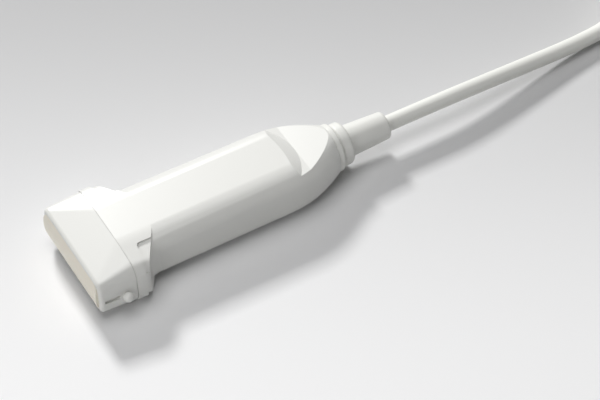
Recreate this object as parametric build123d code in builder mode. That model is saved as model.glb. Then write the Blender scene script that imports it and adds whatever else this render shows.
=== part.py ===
"""Linear-array ultrasound transducer probe with its cable and system connector.

Millimetres, +Z up. The probe lies on the flat underside of its handle. +X runs from the lens to the
tail and +Y to the side without the guide groove. The origin is the bottom centre of the probe from
lens crown to strain relief. Stations count back from front_x, where the head's rounded face begins.
"""

import os
from math import pi, radians, tan

from build123d import *

os.makedirs("parts", exist_ok=True)

# Driving dimensions of the probe
probe_length = 148.9
thickness = 24.0
head_width = 53.0
rim_width = 52.0
rim_thickness = 17.3
face_lead = 1.8
seam_station = 14.4
gasket_thickness = 0.3
grip_end_station = 92.0
tail_station = 118.0
grip_width_front = 37.6
grip_width_rear = 35.8
head_corner_height = 10.0
corner_height = 8.2
flat_half_width = 11.5
wall = 2.2

# Driving dimensions of the array
lens_width = 48.4
lens_height = 14.0
lens_crown = 1.1
lens_seat_depth = 1.6
array_width = 43.2
array_height = 8.0
element_count = 64
kerf_width = 0.12

# Driving dimensions of the cable and its connector
cable_diameter = 7.0
coil_columns = 2
coil_layers = 4
coil_inner_radius = 22.5
coil_straight = 31.0
strap_thickness = 0.8
connector_length = 78.0
connector_depth = 40.0
connector_height = 34.0
connector_wall = 2.4
lock_shaft_radius = 3.0
lock_clearance = 0.04

half_thickness = thickness / 2
axis_height = half_thickness
face_station = -face_lead
front_x = lens_crown + face_lead - probe_length / 2
cable_radius = cable_diameter / 2
handle_station = seam_station + gasket_thickness


def across(station):
    """Plane across the probe at a station, its X along the width and its Y upwards."""
    return Plane(origin=(front_x + station, 0, axis_height), x_dir=(0, 1, 0), z_dir=(1, 0, 0))


def at_height(height):
    """Horizontal plane at a height above the probe's axis, its origin at front_x."""
    return Plane(origin=(front_x, 0, axis_height + height), x_dir=(1, 0, 0), z_dir=(0, 0, 1))


def side_plane(offset):
    """Upright plane along the probe, its X along the stations and its Y upwards."""
    return Plane(origin=(front_x, offset, axis_height), x_dir=(1, 0, 0), z_dir=(0, -1, 0))


def flank_polygon(half_width, half_height, flat, corner):
    """Eight-sided section: flat top and bottom, sloping shoulders and upright sides."""
    right = [(flat, half_height), (half_width, corner), (half_width, -corner), (flat, -half_height)]
    left = [(-y, -z) for y, z in right]
    Polygon(*right, *left, align=None)


def flank_section(half_width, half_height, flat, corner, corner_radius, crease_radius):
    """The eight-sided section with rounded corners and softened creases."""
    flank_polygon(half_width, half_height, flat, corner)
    fillet(vertices().filter_by(lambda v: abs(v.X) > half_width - 0.01), corner_radius)
    fillet(vertices().filter_by(lambda v: abs(v.Y) > half_height - 0.01), crease_radius)


def save(piece, name):
    """Labels a finished piece and writes its STEP file."""
    piece.part.label = name
    export_step(piece.part, f"parts/{name}.step")


# Outer form of the nose
head_corner_radius = 6.0
head_crease_radius = 40.0
rim_flat_half_width = 23.0
rim_corner_drop = 0.35
rim_corner_radius = 2.8
rim_crease_radius = 4.0
face_half_width = rim_width / 2 - (head_width - rim_width) / 2 * face_lead / seam_station
face_half_height = rim_thickness / 2 - (half_thickness - rim_thickness / 2) * face_lead / seam_station

with BuildPart() as nose_form:
    with BuildSketch(across(face_station)):
        flank_section(face_half_width, face_half_height, rim_flat_half_width, face_half_height - rim_corner_drop,
                      rim_corner_radius, rim_crease_radius)
    with BuildSketch(across(seam_station)):
        flank_section(head_width / 2, half_thickness, flat_half_width, head_corner_height,
                      head_corner_radius, head_crease_radius)
    loft(ruled=True)
    fillet(faces().sort_by(Axis.X)[0].edges(), face_lead)

# Nose piece: a hollow moulding with the lens window, a guide ball on each edge and one guide groove
ball_radius = 2.2
ball_station = 9.7
ball_offset = 28.0
guide_height = -1.8
groove_start = 0.2
groove_end = 7.2
groove_width = 2.2
groove_depth = 1.5
skirt_length = 3.4
skirt_thickness = 1.5
lens_corner_radius = 3.4
window_width = array_width + 0.4
window_height = array_height + 0.4
window_corner_radius = 0.6
front_wall = 3.2
cavity_inset = 3.0

with BuildPart() as nose_cavity:
    with BuildSketch(across(front_wall)):
        flank_polygon(rim_width / 2 - cavity_inset, rim_thickness / 2 - 2.0, 20.0, 5.2)
    with BuildSketch(across(seam_station + skirt_length + 1)):
        flank_polygon(head_width / 2 - wall - skirt_thickness, half_thickness - wall - skirt_thickness - 0.2,
                      10.0, 4.6)
    loft(ruled=True)

with BuildPart() as nose_piece:
    add(nose_form.part)
    with BuildSketch(across(seam_station)):
        flank_section(head_width / 2 - wall - 0.1, half_thickness - wall - 0.1, 10.6, 6.2, 2.0, 0.6)
    extrude(amount=skirt_length)
    add(nose_cavity.part, mode=Mode.SUBTRACT)
    with BuildSketch(across(face_station)):
        RectangleRounded(lens_width + 0.1, lens_height + 0.1, lens_corner_radius)
    extrude(amount=lens_seat_depth, mode=Mode.SUBTRACT)
    with BuildSketch(across(face_station)):
        RectangleRounded(window_width, window_height, window_corner_radius)
    extrude(amount=face_lead + front_wall + 1, mode=Mode.SUBTRACT)
    for side in (-1, 1):
        with Locations((front_x + ball_station, side * ball_offset, axis_height + guide_height)):
            Sphere(ball_radius)
    with BuildSketch(side_plane(-head_width / 2)):
        with Locations(((groove_start + groove_end) / 2, guide_height)):
            SlotOverall(groove_end - groove_start, groove_width)
    extrude(amount=-groove_depth, both=True, mode=Mode.SUBTRACT)
save(nose_piece, "nose_piece")

# Lens: a silicone slab that bulges a little in front of the rim
lens_back = face_station + lens_seat_depth

with BuildPart() as acoustic_lens:
    with BuildSketch(side_plane(0)):
        with BuildLine():
            Polyline((face_station, -lens_height / 2), (lens_back, -lens_height / 2),
                     (lens_back, lens_height / 2), (face_station, lens_height / 2))
            ThreePointArc((face_station, lens_height / 2), (face_station - lens_crown, 0),
                          (face_station, -lens_height / 2))
        make_face()
    extrude(amount=lens_width / 2, both=True)
    with BuildSketch(across(face_station - lens_crown - 1)):
        RectangleRounded(lens_width, lens_height, lens_corner_radius)
    extrude(amount=lens_seat_depth + lens_crown + 1, mode=Mode.INTERSECT)
save(acoustic_lens, "acoustic_lens")

# The layers behind the lens, front to back
layer_stack = (
    ("matching_layer_outer", 0.3),
    ("matching_layer_inner", 0.3),
    ("ground_foil", 0.2),
)
stack_station = lens_back
for layer_name, layer_thickness in layer_stack:
    with BuildPart() as layer:
        with BuildSketch(across(stack_station)):
            Rectangle(array_width, array_height)
        extrude(amount=layer_thickness)
    save(layer, layer_name)
    stack_station += layer_thickness

# Piezo array: one ceramic bar, sawn into elements from the back
piezo_thickness = 0.8
kerf_depth = 0.6
element_pitch = array_width / element_count

with BuildPart() as piezo_array:
    with BuildSketch(across(stack_station)):
        Rectangle(array_width, array_height)
    extrude(amount=piezo_thickness)
    with BuildSketch(across(stack_station + piezo_thickness)):
        with GridLocations(element_pitch, 0, element_count - 1, 1):
            Rectangle(kerf_width, array_height + 1)
    extrude(amount=-kerf_depth, mode=Mode.SUBTRACT)
save(piezo_array, "piezo_array")

backing_station = stack_station + piezo_thickness
backing_depth = 7.0

with BuildPart() as backing_block:
    with BuildSketch(across(backing_station)):
        Rectangle(array_width, array_height - 0.6)
    extrude(amount=backing_depth)
    chamfer(faces().sort_by(Axis.X)[-1].edges().filter_by(Axis.Y), 1.2)
save(backing_block, "backing_block")
backing_end = backing_station + backing_depth

# Array carrier: a frame round the backing block, closed behind it but for the slots of the two flexes
carrier_end = backing_end + 1.6
flex_thickness = 0.2
flex_height = array_height / 2 - 0.3

with BuildPart() as array_carrier:
    with BuildSketch(across(front_wall)):
        Rectangle(array_width + 1.6, array_height + 1.6)
        Rectangle(array_width + 0.1, array_height + 0.1, mode=Mode.SUBTRACT)
    extrude(amount=carrier_end - front_wall)
    with BuildSketch(across(backing_end)):
        Rectangle(array_width + 0.6, array_height + 0.6)
        with GridLocations(0, 2 * flex_height + flex_thickness, 1, 2):
            Rectangle(array_width + 0.1, 3 * flex_thickness, mode=Mode.SUBTRACT)
        with GridLocations(array_width / 3, 0, 3, 1):
            RectangleRounded(array_width / 3 - 3, 4.0, 1.0, mode=Mode.SUBTRACT)
    extrude(amount=carrier_end - backing_end)
save(array_carrier, "array_carrier")

# Gasket between nose and handle, set back a little from both mouldings
gasket_reveal = 0.15

with BuildPart() as nose_seal:
    with BuildSketch(across(seam_station)):
        flank_section(head_width / 2 - gasket_reveal, half_thickness - gasket_reveal, flat_half_width,
                      head_corner_height - gasket_reveal, head_corner_radius, head_crease_radius)
        with BuildSketch(mode=Mode.PRIVATE) as seal_hole:
            flank_section(head_width / 2 - wall, half_thickness - wall, 10.6, 6.2, 2.0, 0.6)
        add(seal_hole.sketch, mode=Mode.SUBTRACT)
    extrude(amount=gasket_thickness)
save(nose_seal, "nose_seal")

# Outer form of the handle: an eight-sided grip that narrows a little
slope_fall = (half_thickness - corner_height) / (grip_width_front / 2 - flat_half_width)
rear_corner_height = half_thickness - slope_fall * (grip_width_rear / 2 - flat_half_width)
grip_corner_radius = 6.5
crease_radius = 10.0

with BuildPart() as grip_form:
    with BuildSketch(across(handle_station)):
        flank_polygon(grip_width_front / 2, half_thickness, flat_half_width, corner_height)
    extrude(amount=grip_end_station - handle_station)
    with BuildSketch(at_height(-half_thickness - 1)):
        Polygon((handle_station, grip_width_front / 2), (grip_end_station, grip_width_rear / 2),
                (grip_end_station, -grip_width_rear / 2), (handle_station, -grip_width_front / 2), align=None)
    extrude(amount=thickness + 2, mode=Mode.INTERSECT)
    long_edges = edges().filter_by(lambda e: e.length > 60)
    fillet(long_edges.filter_by(lambda e: abs(e.center().Y) > flat_half_width + 2), grip_corner_radius)
    long_edges = edges().filter_by(lambda e: e.length > 60 and abs(e.center().Y) < flat_half_width + 0.1)
    fillet(long_edges, crease_radius)

# Scoop: the curved step in front of the tail and the thumb rest behind it
scoop_foot = 101.8
scoop_crest = 95.6
scoop_height = 9.4
scoop_foot_radius = 26.0
scoop_crest_radius = 60.0
scoop_half_width = 20.0
scoop_rear = 122.0

scoop_levels = (
    (scoop_height, scoop_foot, scoop_foot_radius),
    (half_thickness + 0.1, scoop_crest, scoop_crest_radius),
)

with BuildPart() as scoop_form:
    for level, front, radius in scoop_levels:
        side = front - radius + (radius ** 2 - scoop_half_width ** 2) ** 0.5
        with BuildSketch(at_height(level)):
            with BuildLine():
                ThreePointArc((side, -scoop_half_width), (front, 0), (side, scoop_half_width))
                Polyline((side, scoop_half_width), (scoop_rear, scoop_half_width),
                         (scoop_rear, -scoop_half_width), (side, -scoop_half_width))
            make_face()
    loft(ruled=True)
    with BuildSketch(side_plane(0)):
        Polygon((80, scoop_height), (scoop_foot, scoop_height), (scoop_rear, 11.4), (scoop_rear, 14), (80, 14),
                align=None)
    extrude(amount=scoop_half_width + 1, both=True, mode=Mode.INTERSECT)

# The tail draws in from the grip's section to a nearly round end
tail_radius = 10.9
tail_flat = tail_radius * tan(radians(22.5))
tail_corner_radius = 9.0
tail_inset = 0.05


def ease(start, end, share):
    """A value part of the way from start to end, slow at first."""
    return start + (end - start) * share ** 2


with BuildPart() as tail_form:
    for share in (0, 0.2, 0.4, 0.6, 0.8, 1):
        with BuildSketch(across(grip_end_station + share * (tail_station - grip_end_station))):
            flank_section(ease(grip_width_rear / 2 - tail_inset, tail_radius, share),
                          ease(half_thickness - tail_inset, tail_radius, share),
                          ease(flat_half_width, tail_flat, share),
                          ease(rear_corner_height - tail_inset / 2, tail_flat, share),
                          ease(grip_corner_radius, tail_corner_radius, share),
                          ease(crease_radius, tail_corner_radius, share))
    loft()
    add(scoop_form.part, mode=Mode.SUBTRACT)

# Shoulders: the head's section carried on behind the seam, cut off aslant and rounded at the side
shoulder_lip = 0.6
shoulder_half_width = head_width / 2 + shoulder_lip
shoulder_side = shoulder_half_width - 0.05
shoulder_side_end = 20.3
shoulder_crest = (30.0, 11.0)

with BuildPart() as shoulder_form:
    with BuildSketch(across(handle_station)):
        flank_section(shoulder_half_width, half_thickness, flat_half_width, head_corner_height,
                      head_corner_radius, head_crease_radius)
    extrude(amount=shoulder_crest[0] - handle_station)
    with BuildSketch(at_height(-half_thickness - 1)):
        Polygon((handle_station - 1, 0), (handle_station - 1, shoulder_side), (shoulder_side_end, shoulder_side),
                shoulder_crest, (shoulder_crest[0], 0), align=None)
        fillet(vertices().filter_by(lambda v: v.Y > shoulder_side - 1 and v.X > handle_station), 4.0)
        mirror(about=Plane.XZ)
    extrude(amount=thickness + 2, mode=Mode.INTERSECT)

# Notches: a shallow land sunk into each shoulder, open to the side and the rear
notch_corner = (20.9, 15.0)
notch_front_end = (18.6, 29.0)
notch_depth = 0.9
notch_floor = 5.2

with BuildPart() as notch_form:
    with BuildSketch(at_height(notch_floor)):
        Polygon(notch_corner, notch_front_end, (34, 29), (34, notch_corner[1]), align=None)
        fillet(vertices().sort_by(Axis.X).filter_by(lambda v: v.Y < 16 and v.X < 30), 1.6)
    extrude(amount=half_thickness)
    with BuildSketch(across(handle_station)):
        flank_section(shoulder_half_width - notch_depth, half_thickness - notch_depth, flat_half_width,
                      head_corner_height - notch_depth, head_corner_radius - notch_depth, head_crease_radius)
    extrude(amount=24, mode=Mode.SUBTRACT)
    mirror(about=Plane.XZ)
    mirror(about=at_height(0))

# Webs: hollow curves that lead from the shoulders into the sides of the grip
web_outline = (
    (handle_station, 24.6),
    (20.5, 24.4),
    (23.0, 22.0),
    (25.5, 19.9),
    (28.5, 18.75),
    (33.0, 17.6),
)
web_inset = 0.02

with BuildPart() as web_form:
    for station, web_half_width in web_outline:
        web_corner = half_thickness - slope_fall * (web_half_width - flat_half_width)
        with BuildSketch(across(station)):
            flank_section(web_half_width, half_thickness - web_inset, flat_half_width, web_corner - web_inset,
                          grip_corner_radius, crease_radius)
    loft()

# Space inside the handle
probe_axis = Axis((front_x, 0, axis_height), (1, 0, 0))
inner_half_height = half_thickness - wall
socket_end = handle_station + skirt_length
grip_space_start = 25.0
grip_space_end = 93.0
grip_space_half_width = 15.4
tail_space_radius = 7.2
flange_station = 112.5
flange_thickness = 2.0
flange_radius = 8.6
neck_radius = 7.3

with BuildPart() as handle_space:
    with BuildSketch(across(handle_station - 1)):
        flank_polygon(head_width / 2 - wall, inner_half_height, 10.6, 6.2)
    extrude(amount=socket_end + 1 - handle_station)
    with BuildSketch(across(socket_end)):
        flank_polygon(head_width / 2 - wall, inner_half_height, 10.6, 6.2)
    with BuildSketch(across(grip_space_start)):
        flank_polygon(grip_space_half_width, inner_half_height, 9.6, 6.0)
    loft(ruled=True)
    with BuildSketch(across(grip_space_start)):
        flank_polygon(grip_space_half_width, inner_half_height, 9.6, 6.0)
    extrude(amount=grip_space_end - grip_space_start)
    with BuildSketch(side_plane(0)):
        Polygon((grip_space_end - 1, 0), (grip_space_end - 1, tail_space_radius), (110, tail_space_radius),
                (111, neck_radius - 0.4), (flange_station, neck_radius - 0.4),
                (flange_station, flange_radius + 0.1),
                (flange_station + flange_thickness, flange_radius + 0.1),
                (flange_station + flange_thickness, neck_radius + 0.1), (tail_station + 1, neck_radius + 0.1),
                (tail_station + 1, 0), align=None)
    revolve(axis=probe_axis)

with BuildPart() as handle_form:
    add(shoulder_form.part)
    add(notch_form.part, mode=Mode.SUBTRACT)
    add(web_form.part)
    add(grip_form.part)
    add(tail_form.part)
    add(handle_space.part, mode=Mode.SUBTRACT)

with BuildPart() as handle_shell_upper:
    add(handle_form.part)
    split(bisect_by=at_height(0), keep=Keep.TOP)
save(handle_shell_upper, "handle_shell_upper")

with BuildPart() as handle_shell_lower:
    add(handle_form.part)
    split(bisect_by=at_height(0), keep=Keep.BOTTOM)
save(handle_shell_lower, "handle_shell_lower")

# Ring between handle and strain relief
ring_length = 2.8
ring_radius = 10.6
ring_station = tail_station

with BuildPart() as tail_ring:
    with BuildSketch(side_plane(0)):
        with Locations((ring_station + ring_length / 2, (ring_radius + neck_radius + 0.05) / 2)):
            RectangleRounded(ring_length, ring_radius - neck_radius - 0.05, 0.7)
    revolve(axis=probe_axis)
save(tail_ring, "tail_ring")

# Strain relief: a flange held between the shells, a bulb and a tapering sleeve
bulb_start = ring_station + ring_length
bulb_length = 5.6
bulb_radius = 9.4
sleeve_start = bulb_start + bulb_length
sleeve_end = probe_length - lens_crown - face_lead
sleeve_front_radius = 7.0
sleeve_rear_radius = 6.1
cable_hole = cable_radius
flange_end = flange_station + flange_thickness

with BuildPart() as strain_relief:
    with BuildSketch(side_plane(0)):
        Polygon((flange_station, cable_hole), (flange_station, flange_radius), (flange_end, flange_radius),
                (flange_end, neck_radius), (bulb_start, neck_radius), (bulb_start, bulb_radius),
                (sleeve_start, bulb_radius), (sleeve_start, sleeve_front_radius),
                (sleeve_end, sleeve_rear_radius), (sleeve_end, cable_hole), align=None)
        fillet(vertices().filter_by(lambda v: v.Y > bulb_radius - 0.1 and v.X > bulb_start + 1), 1.7)
        fillet(vertices().filter_by(lambda v: v.Y > bulb_radius - 0.1 and v.X < bulb_start + 1), 1.6)
        fillet(vertices().filter_by(lambda v: v.X > sleeve_end - 0.1 and v.Y > cable_hole + 1), 1.5)
        fillet(vertices().filter_by(lambda v: abs(v.X - sleeve_start) < 0.1 and v.Y < bulb_radius - 1), 0.5)
    revolve(axis=probe_axis)
save(strain_relief, "strain_relief")

# Electronics: two boards on a moulded chassis, each with two flex sockets and rows of inductors
board_start = 30.0
board_length = 48.0
board_width = 27.0
board_thickness = 1.0
board_height = 3.9
board_end = board_start + board_length
chassis_thickness = 1.2
shield_thickness = 0.3
chassis_width = 2 * (grip_space_half_width - shield_thickness)
screw_spacing_x = 34.0
screw_spacing_y = 20.0
screw_hole_radius = 0.9
post_radius = 2.0
socket_length = 4.0
socket_width = 10.0
socket_height = 1.7
screw_centre = board_start + board_length / 2
chassis_end = board_end + 2.0


def board_faces():
    """The outward planes of the two boards, each with its own side of the chassis below it."""
    upper = Plane(origin=(front_x, 0, axis_height), x_dir=(1, 0, 0), z_dir=(0, 0, 1))
    lower = Plane(origin=(front_x, 0, axis_height), x_dir=(1, 0, 0), z_dir=(0, 0, -1))
    return {"upper": upper, "lower": lower}


with BuildPart() as board_chassis:
    with BuildSketch(at_height(-chassis_thickness / 2)):
        with Locations((screw_centre, 0)):
            RectangleRounded(board_length + 4, chassis_width, 2.0)
            RectangleRounded(board_length - 22, chassis_width - 14, 3.0, mode=Mode.SUBTRACT)
    extrude(amount=chassis_thickness)
    with BuildSketch(at_height(-board_height)):
        with Locations((screw_centre, 0)):
            with GridLocations(screw_spacing_x, screw_spacing_y, 2, 2):
                Circle(post_radius)
    extrude(amount=2 * board_height)
    with BuildSketch(at_height(-board_height)):
        with Locations((screw_centre, 0)):
            with GridLocations(screw_spacing_x, screw_spacing_y, 2, 2):
                Circle(screw_hole_radius)
    extrude(amount=2 * board_height, mode=Mode.SUBTRACT)
save(board_chassis, "board_chassis")

for side, face in board_faces().items():
    with BuildPart() as board:
        with BuildSketch(face.offset(board_height)):
            with Locations((screw_centre, 0)):
                RectangleRounded(board_length, board_width, 1.0)
                with GridLocations(screw_spacing_x, screw_spacing_y, 2, 2):
                    Circle(screw_hole_radius + 0.2, mode=Mode.SUBTRACT)
        extrude(amount=board_thickness)
    save(board, f"interconnect_board_{side}")

board_top = board_height + board_thickness
flex_end = board_start + 3.0
flex_landing = board_top + 0.6

with BuildPart() as flex_connectors:
    for face in board_faces().values():
        with BuildSketch(face.offset(board_top)):
            with Locations((board_start + 1 + socket_length / 2, 0)):
                with GridLocations(0, socket_width + 1, 1, 2):
                    Rectangle(socket_length, socket_width)
        extrude(amount=socket_height)
        with BuildSketch(face.offset(flex_landing - 0.05)):
            with Locations((board_start + 2, 0)):
                Rectangle(2.1, board_width)
        extrude(amount=flex_thickness + 0.1, mode=Mode.SUBTRACT)
save(flex_connectors, "flex_connectors")

inductor_columns = 7
inductor_rows = 4
inductor_pitch_x = 3.6
inductor_pitch_y = 4.2
inductor_height = 1.1

with BuildPart() as tuning_inductors:
    for face in board_faces().values():
        with BuildSketch(face.offset(board_top)):
            with Locations((screw_centre + 3, 0)):
                with GridLocations(inductor_pitch_x, inductor_pitch_y, inductor_columns, inductor_rows):
                    Rectangle(2.2, 1.5)
        extrude(amount=inductor_height)
save(tuning_inductors, "tuning_inductors")

screw_head_radius = 1.7

with BuildPart() as chassis_screws:
    for face in board_faces().values():
        with BuildSketch(face.offset(board_top)):
            with Locations((screw_centre, 0)):
                with GridLocations(screw_spacing_x, screw_spacing_y, 2, 2):
                    Circle(screw_head_radius)
        extrude(amount=1.1)
        with BuildSketch(face.offset(board_top)):
            with Locations((screw_centre, 0)):
                with GridLocations(screw_spacing_x, screw_spacing_y, 2, 2):
                    Circle(screw_hole_radius - 0.05)
        extrude(amount=-3.6)
save(chassis_screws, "chassis_screws")

# Flex circuits: from the backing block out through the carrier and up to the sockets on the boards
flex_start = backing_station + 0.4
flex_rise_start = carrier_end + 1.0
flex_rise_end = board_start - 0.5
flex_front_width = array_width
flex_rear_width = 2 * socket_width + 1

for side, face in board_faces().items():
    with BuildPart() as flex:
        with BuildSketch(Plane(origin=face.origin, x_dir=(1, 0, 0), z_dir=-face.y_dir)):
            Polygon((flex_start, flex_height), (flex_rise_start, flex_height), (flex_rise_end, flex_landing),
                    (flex_end, flex_landing), (flex_end, flex_landing + flex_thickness),
                    (flex_rise_end, flex_landing + flex_thickness),
                    (flex_rise_start, flex_height + flex_thickness), (flex_start, flex_height + flex_thickness),
                    align=None)
        extrude(amount=flex_front_width, both=True)
        with BuildSketch(at_height(-half_thickness)):
            Polygon((0, flex_front_width / 2), (flex_rise_start, flex_front_width / 2),
                    (flex_rise_end, flex_rear_width / 2), (board_end, flex_rear_width / 2),
                    (board_end, -flex_rear_width / 2), (flex_rise_end, -flex_rear_width / 2),
                    (flex_rise_start, -flex_front_width / 2), (0, -flex_front_width / 2), align=None)
        extrude(amount=thickness, mode=Mode.INTERSECT)
    save(flex, f"flex_circuit_{side}")

# Shield: a folded sheet round the electronics
with BuildPart() as rf_shield:
    with BuildSketch(across(grip_space_start + 2)):
        flank_polygon(grip_space_half_width, inner_half_height, 9.6, 6.0)
        offset(amount=-shield_thickness, mode=Mode.SUBTRACT)
    extrude(amount=grip_space_end - grip_space_start - 6)
save(rf_shield, "rf_shield")

# Conductors: a flat fan behind the boards that gathers into the cable
fan_end = 100.0
clamp_station = 102.0
clamp_length = 8.0
cable_start = 104.0

with BuildPart() as conductor_bundle:
    with BuildSketch(across(chassis_end)):
        RectangleRounded(22, 9.4, 2.0)
    with BuildSketch(across(chassis_end + 7)):
        RectangleRounded(18, 7.6, 3.0)
    with BuildSketch(across(fan_end)):
        RectangleRounded(6.0, 6.0, 2.9)
    loft()
    with BuildSketch(across(fan_end)):
        RectangleRounded(6.0, 6.0, 2.9)
    extrude(amount=cable_start - fan_end)
save(conductor_bundle, "conductor_bundle")

with BuildPart() as cable_clamp:
    with BuildSketch(side_plane(0)):
        Polygon((clamp_station, cable_hole), (clamp_station, cable_hole + 1.2),
                (clamp_station + 3, cable_hole + 1.2), (clamp_station + 3, tail_space_radius),
                (clamp_station + 5, tail_space_radius), (clamp_station + 5, cable_hole + 1.2),
                (clamp_station + clamp_length, cable_hole + 1.2), (clamp_station + clamp_length, cable_hole),
                align=None)
    revolve(axis=probe_axis)
save(cable_clamp, "cable_clamp")

# Cable: straight runs joined by arcs as large as the runs allow
coil_base = strap_thickness + 0.1
coil_width = coil_columns * cable_diameter + 0.6
coil_height = coil_layers * cable_diameter
coil_outer_radius = coil_inner_radius + coil_width
coil_start_station = 274.0
coil_centre_station = coil_start_station + coil_outer_radius + coil_straight / 2
floor_run = cable_radius + 0.4
plug_left_station = 426.0
plug_y = 2.0
plug_axis_height = connector_height / 2
boot_length = 24.0
boot_start = plug_left_station - boot_length
boot_socket = 13.0

probe_side_route = [
    (cable_start, 0.0, axis_height),
    (186.0, 0.0, axis_height),
    (277.0, 6.6, floor_run),
]
plug_side_route = [
    (365.0, 24.8, coil_base + coil_height - cable_radius),
    (392.0, plug_y, plug_axis_height),
    (boot_start + boot_socket, plug_y, plug_axis_height),
]


def arc_radii(route):
    """The largest arc at each inner point: 0.45 of the shorter run over the tangent of half the turn."""
    radii = []
    for before, here, after in zip(route, route[1:], route[2:]):
        first = Vector(*here) - Vector(*before)
        second = Vector(*after) - Vector(*here)
        half_turn = radians(first.get_angle(second) / 2)
        radii.append(0.45 * min(first.length, second.length) / tan(half_turn))
    return radii


cable_routes = {"cable": probe_side_route, "cable_plug_end": plug_side_route}
for cable_name, stations in cable_routes.items():
    route = [(front_x + station, y, z) for station, y, z in stations]
    radii = arc_radii(route)
    print(cable_name, "radii", [round(radius, 1) for radius in radii])
    with BuildPart() as tube:
        with BuildLine() as path:
            FilletPolyline(*route, radius=radii)
        start_tangent = path.line % 0
        with BuildSketch(Plane(origin=path.line @ 0, z_dir=start_tangent)):
            Circle(cable_radius)
        sweep()
    tube_length = sum(edge.length for edge in path.line.edges())
    share = tube.part.volume / (pi * cable_radius ** 2 * tube_length)
    print(cable_name, "length", round(tube_length, 1), "volume share", round(share, 4))
    save(tube, cable_name)

# Coil: the outer shape of seven turns laid as an oval ring, held by two straps
coil_plane = Plane(origin=(front_x + coil_centre_station, 0, coil_base), x_dir=(1, 0, 0), z_dir=(0, 0, 1))
coil_turns = coil_columns * coil_layers - 0.5
turn_length = coil_straight * 2 + 2 * pi * (coil_inner_radius + coil_width / 2)
print("coil", "turns", coil_turns, "length", round(coil_turns * turn_length))

with BuildPart() as cable_coil:
    with BuildSketch(coil_plane):
        SlotCenterToCenter(coil_straight, 2 * coil_outer_radius)
        SlotCenterToCenter(coil_straight, 2 * coil_inner_radius, mode=Mode.SUBTRACT)
    extrude(amount=coil_height)
    fillet(edges().filter_by(lambda e: abs(e.center().Z - coil_base) < 0.01
                             or abs(e.center().Z - coil_base - coil_height) < 0.01), 3.0)
save(cable_coil, "cable_coil")

strap_width = 12.0
strap_corner_radius = 2.9
strap_gap = 0.1
strap_y = coil_inner_radius + coil_width / 2

with BuildPart() as coil_straps:
    with BuildSketch(Plane(origin=(front_x + coil_centre_station - strap_width / 2, 0, coil_base + coil_height / 2),
                           x_dir=(0, 1, 0), z_dir=(1, 0, 0))):
        with GridLocations(2 * strap_y, 1, 2, 1):
            RectangleRounded(coil_width + 2 * strap_thickness + 2 * strap_gap,
                             coil_height + 2 * strap_thickness + 2 * strap_gap,
                             strap_corner_radius + strap_thickness)
            RectangleRounded(coil_width + 2 * strap_gap, coil_height + 2 * strap_gap, strap_corner_radius,
                             mode=Mode.SUBTRACT)
    extrude(amount=strap_width)
save(coil_straps, "coil_straps")

# System connector: it lies on its long edge, its contacts towards -Y and its lock handle towards +Y
plug_x = front_x + plug_left_station + connector_length / 2
shell_joint = 2.0
shroud_depth = 7.0
shroud_length = 64.0
shroud_height = 24.0
shroud_wall = 1.6
block_length = shroud_length - 2 * shroud_wall - 0.4
block_height = shroud_height - 2 * shroud_wall - 0.4
block_depth = 9.0
lip_thickness = 0.4
half_depth = connector_depth / 2
shaft_hole = lock_shaft_radius + lock_clearance
bush_radius = 5.0
bush_flange_radius = 6.4
plug_lock_axis = Axis((plug_x, plug_y, plug_axis_height), (0, 1, 0))


def plug_face(offset_y):
    """Upright plane across the connector's depth, looking to +Y: its X along +X and its Y upwards."""
    return Plane(origin=(plug_x, plug_y + offset_y, plug_axis_height), x_dir=(1, 0, 0), z_dir=(0, -1, 0))


def toward_back(depth):
    """Extrusion amount from a plug face towards +Y."""
    return -depth


with BuildPart() as shell_solid:
    with BuildSketch(plug_face(half_depth)):
        RectangleRounded(connector_length, connector_height, 5.0)
    extrude(amount=connector_depth)
    fillet(faces().sort_by(Axis.Y)[-1].edges(), 3.0)
    fillet(faces().sort_by(Axis.Y)[0].edges(), 1.2)

inner_length = connector_length - 2 * connector_wall
inner_height = connector_height - 2 * connector_wall
screw_x = connector_length - 11
screw_z = connector_height - 12
boss_radius = 3.0
screw_bore_radius = 1.2
screw_clearance_radius = 1.4
counterbore_radius = 2.4
entry_radius = cable_radius + 2.6
plug_left_x = plug_x - connector_length / 2
cable_entry = Plane(origin=(plug_left_x - 1, plug_y, plug_axis_height), x_dir=(0, 1, 0), z_dir=(1, 0, 0))

with BuildPart() as connector_shell_front:
    add(shell_solid.part)
    with BuildSketch(plug_face(shell_joint)):
        Rectangle(connector_length + 2, connector_height + 2)
    extrude(amount=toward_back(connector_depth), mode=Mode.SUBTRACT)
    with BuildSketch(plug_face(shell_joint)):
        RectangleRounded(inner_length, inner_height, 3.0)
        with GridLocations(screw_x, screw_z, 2, 2):
            Circle(boss_radius, mode=Mode.SUBTRACT)
    extrude(amount=half_depth + shell_joint - connector_wall, mode=Mode.SUBTRACT)
    with BuildSketch(plug_face(-half_depth)):
        RectangleRounded(shroud_length, shroud_height, 2.5)
        RectangleRounded(shroud_length - 2 * shroud_wall, shroud_height - 2 * shroud_wall, 1.2, mode=Mode.SUBTRACT)
    extrude(amount=shroud_depth)
    with BuildSketch(plug_face(-half_depth)):
        RectangleRounded(block_length + 0.1, block_height + 0.1, 1.0)
    extrude(amount=toward_back(connector_wall + 1), mode=Mode.SUBTRACT)
    with BuildSketch(plug_face(shell_joint)):
        with GridLocations(screw_x, screw_z, 2, 2):
            Circle(screw_bore_radius)
    extrude(amount=9.0, mode=Mode.SUBTRACT)
    with BuildSketch(cable_entry):
        Circle(entry_radius)
    extrude(amount=connector_wall + 2, mode=Mode.SUBTRACT)
save(connector_shell_front, "connector_shell_front")

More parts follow.
